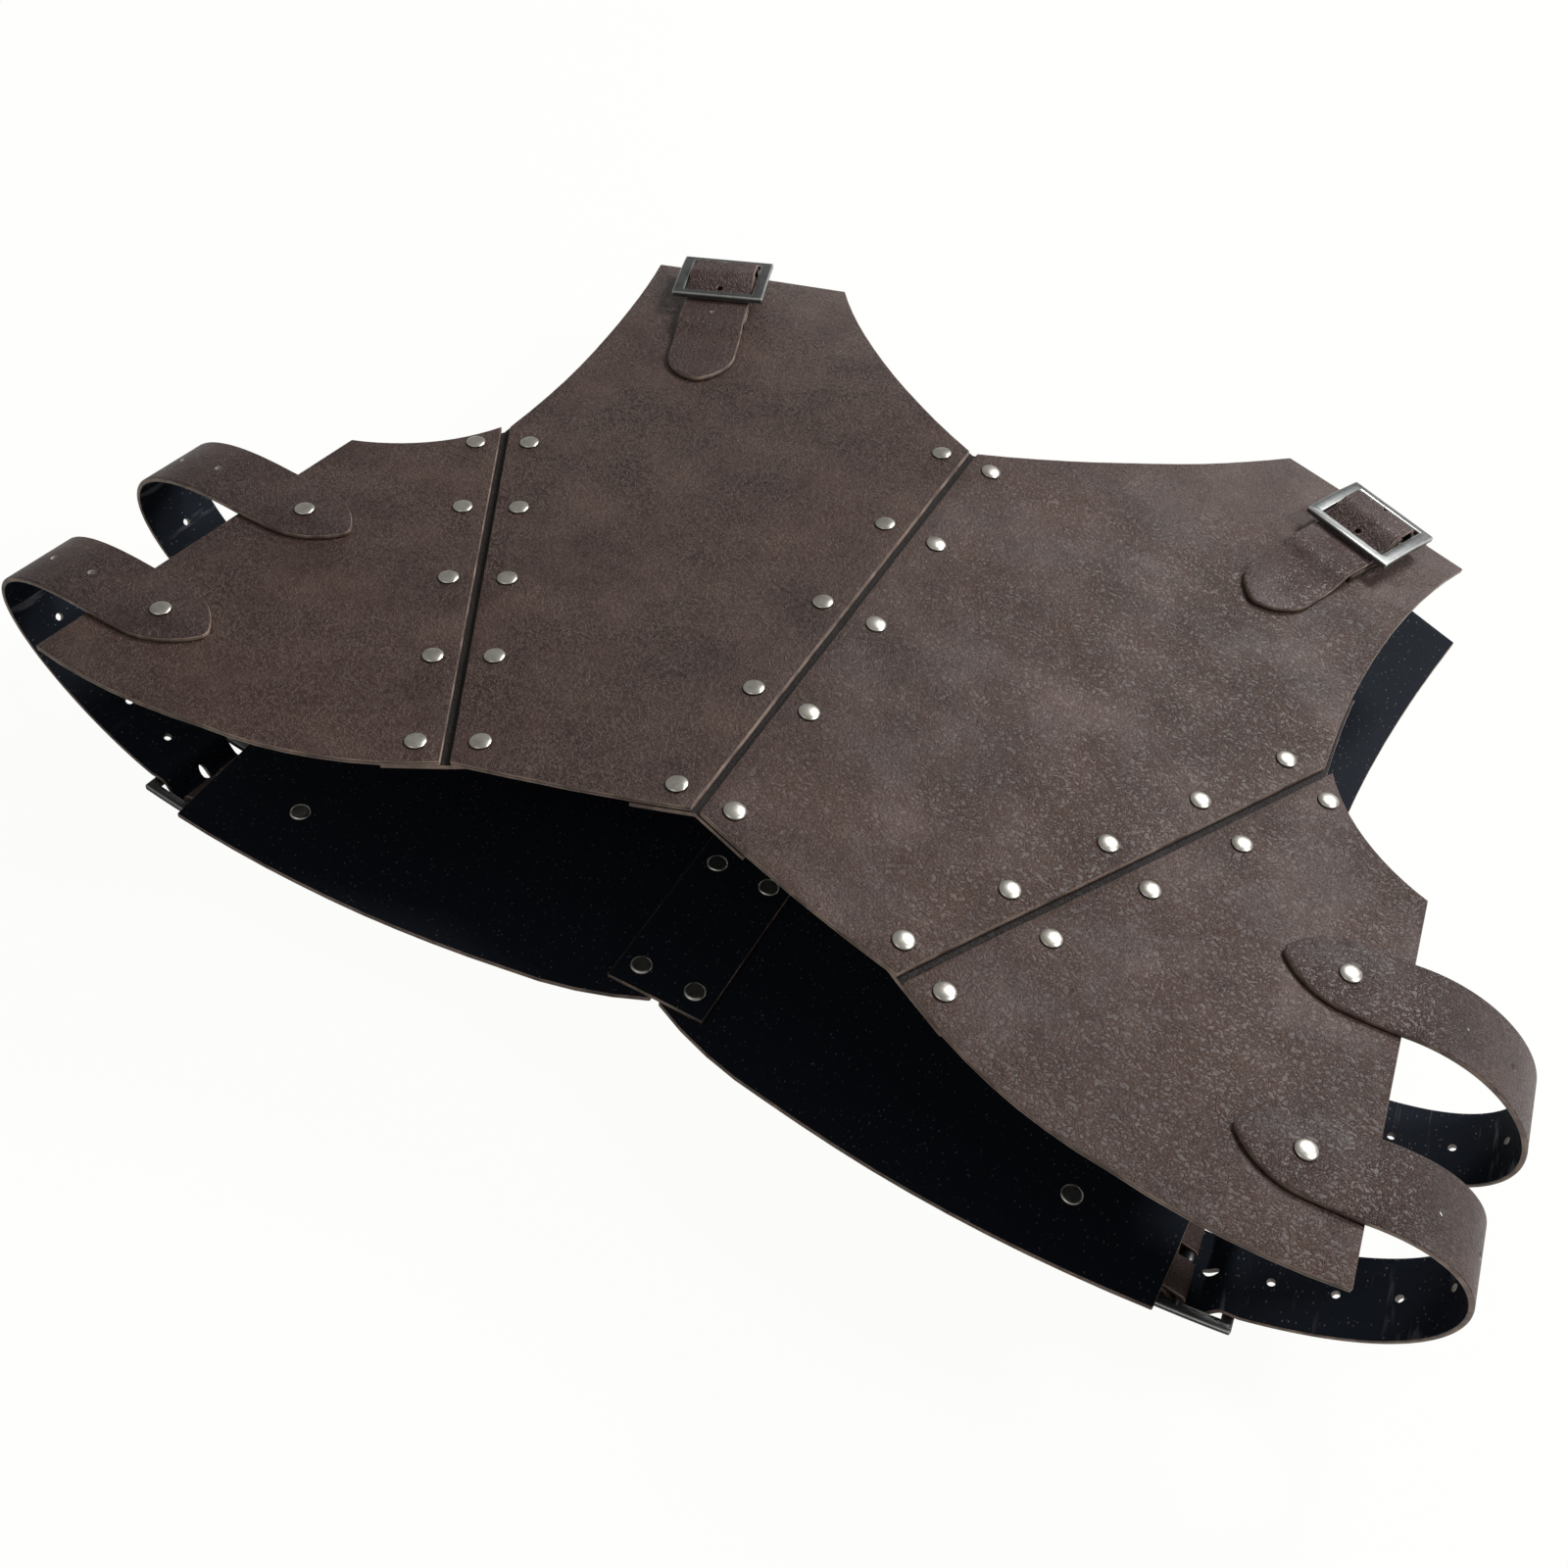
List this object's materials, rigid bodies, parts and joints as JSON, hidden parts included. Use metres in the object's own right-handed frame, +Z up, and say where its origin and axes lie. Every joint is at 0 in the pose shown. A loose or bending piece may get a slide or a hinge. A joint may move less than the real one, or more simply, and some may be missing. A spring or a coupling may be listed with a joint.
{
  "type": "leather chest armour",
  "caption": "Chest armour of riveted leather panels, front and back joined by buckled straps over the shoulders and round the sides, lying on its back.",
  "frame": {"origin": "middle of the surface that it lies on, below the middle of its box", "axes": "+X across the chest to the viewer's right as one faces its front, +Y towards the neck, +Z up through the front"},
  "size_m": [0.6594, 0.4574, 0.1227],
  "materials": {
    "panel_leather": "grained, dark brown outside and black inside",
    "strip_leather": "grained, dark brown",
    "strap_leather": "grained, with cut edges",
    "chape_leather": "thin and folded, dark brown",
    "nickel": "satin nickel plate",
    "pewter": "aged pewter plate"
  },
  "bodies": {
    "armour": {"right_chest_panel": "panel_leather", "left_chest_panel": "panel_leather", "right_side_panel": "panel_leather", "left_side_panel": "panel_leather", "centre_seam_strip": "strip_leather", "right_seam_strip": "strip_leather", "left_seam_strip": "strip_leather", "centre_seam_rivets": "nickel", "right_seam_rivets": "nickel", "left_seam_rivets": "nickel", "right_back_panel": "panel_leather", "left_back_panel": "panel_leather", "spine_strip": "strip_leather", "spine_rivets": "nickel", "right_upper_strap": "strap_leather", "right_lower_strap": "strap_leather", "left_upper_strap": "strap_leather", "left_lower_strap": "strap_leather", "right_shoulder_strap": "strap_leather", "left_shoulder_strap": "strap_leather", "strap_rivets": "nickel", "right_upper_chape": "chape_leather", "right_lower_chape": "chape_leather", "left_upper_chape": "chape_leather", "left_lower_chape": "chape_leather", "right_shoulder_chape": "chape_leather", "left_shoulder_chape": "chape_leather", "chape_rivets": "nickel"},
    "right_upper_buckle": {"right_upper_buckle": "pewter"},
    "right_lower_buckle": {"right_lower_buckle": "pewter"},
    "left_upper_buckle": {"left_upper_buckle": "pewter"},
    "left_lower_buckle": {"left_lower_buckle": "pewter"},
    "right_shoulder_buckle": {"right_shoulder_buckle": "pewter"},
    "left_shoulder_buckle": {"left_shoulder_buckle": "pewter"},
    "right_upper_prong": {"right_upper_prong": "pewter"},
    "right_lower_prong": {"right_lower_prong": "pewter"},
    "left_upper_prong": {"left_upper_prong": "pewter"},
    "left_lower_prong": {"left_lower_prong": "pewter"},
    "right_shoulder_prong": {"right_shoulder_prong": "pewter"},
    "left_shoulder_prong": {"left_shoulder_prong": "pewter"}
  },
  "joints": [
    {"name": "right_upper_buckle_hinge", "type": "hinge", "parent": "armour", "child": "right_upper_buckle", "pos_m": [0.22938, -0.10584, 0.00755], "axis": [-0.0976, 0.9925, -0.0735], "range_deg": [-1.2, 1.2]},
    {"name": "right_upper_prong_hinge", "type": "hinge", "parent": "right_upper_buckle", "child": "right_upper_prong", "pos_m": [0.22938, -0.10584, 0.00755], "axis": [-0.0976, 0.9925, -0.0735], "range_deg": [0, 1.5]},
    {"name": "right_lower_buckle_hinge", "type": "hinge", "parent": "armour", "child": "right_lower_buckle", "pos_m": [0.22938, -0.1916, 0.014], "axis": [-0.0976, 0.9925, -0.0735], "range_deg": [-1.2, 1.2]},
    {"name": "right_lower_prong_hinge", "type": "hinge", "parent": "right_lower_buckle", "child": "right_lower_prong", "pos_m": [0.22938, -0.1916, 0.014], "axis": [-0.0976, 0.9925, -0.0735], "range_deg": [0, 1.5]},
    {"name": "right_shoulder_buckle_hinge", "type": "hinge", "parent": "armour", "child": "right_shoulder_buckle", "pos_m": [0.17521, 0.16595, 0.08167], "axis": [0.937, -0.3455, -0.0511], "range_deg": [-1.2, 1.2]},
    {"name": "right_shoulder_prong_hinge", "type": "hinge", "parent": "right_shoulder_buckle", "child": "right_shoulder_prong", "pos_m": [0.17521, 0.16595, 0.08167], "axis": [0.937, -0.3455, -0.0511], "range_deg": [0, 1.5]},
    {"name": "left_upper_buckle_hinge", "type": "hinge", "parent": "armour", "child": "left_upper_buckle", "pos_m": [-0.22938, -0.10584, 0.00755], "axis": [-0.0976, -0.9925, 0.0735], "range_deg": [-1.2, 1.2]},
    {"name": "left_upper_prong_hinge", "type": "hinge", "parent": "left_upper_buckle", "child": "left_upper_prong", "pos_m": [-0.22938, -0.10584, 0.00755], "axis": [-0.0976, -0.9925, 0.0735], "range_deg": [0, 1.5]},
    {"name": "left_lower_buckle_hinge", "type": "hinge", "parent": "armour", "child": "left_lower_buckle", "pos_m": [-0.22938, -0.1916, 0.014], "axis": [-0.0976, -0.9925, 0.0735], "range_deg": [-1.2, 1.2]},
    {"name": "left_lower_prong_hinge", "type": "hinge", "parent": "left_lower_buckle", "child": "left_lower_prong", "pos_m": [-0.22938, -0.1916, 0.014], "axis": [-0.0976, -0.9925, 0.0735], "range_deg": [0, 1.5]},
    {"name": "left_shoulder_buckle_hinge", "type": "hinge", "parent": "armour", "child": "left_shoulder_buckle", "pos_m": [-0.17521, 0.16595, 0.08167], "axis": [0.937, 0.3455, 0.0511], "range_deg": [-1.2, 1.2]},
    {"name": "left_shoulder_prong_hinge", "type": "hinge", "parent": "left_shoulder_buckle", "child": "left_shoulder_prong", "pos_m": [-0.17521, 0.16595, 0.08167], "axis": [0.937, 0.3455, 0.0511], "range_deg": [0, 1.5]}
  ]
}
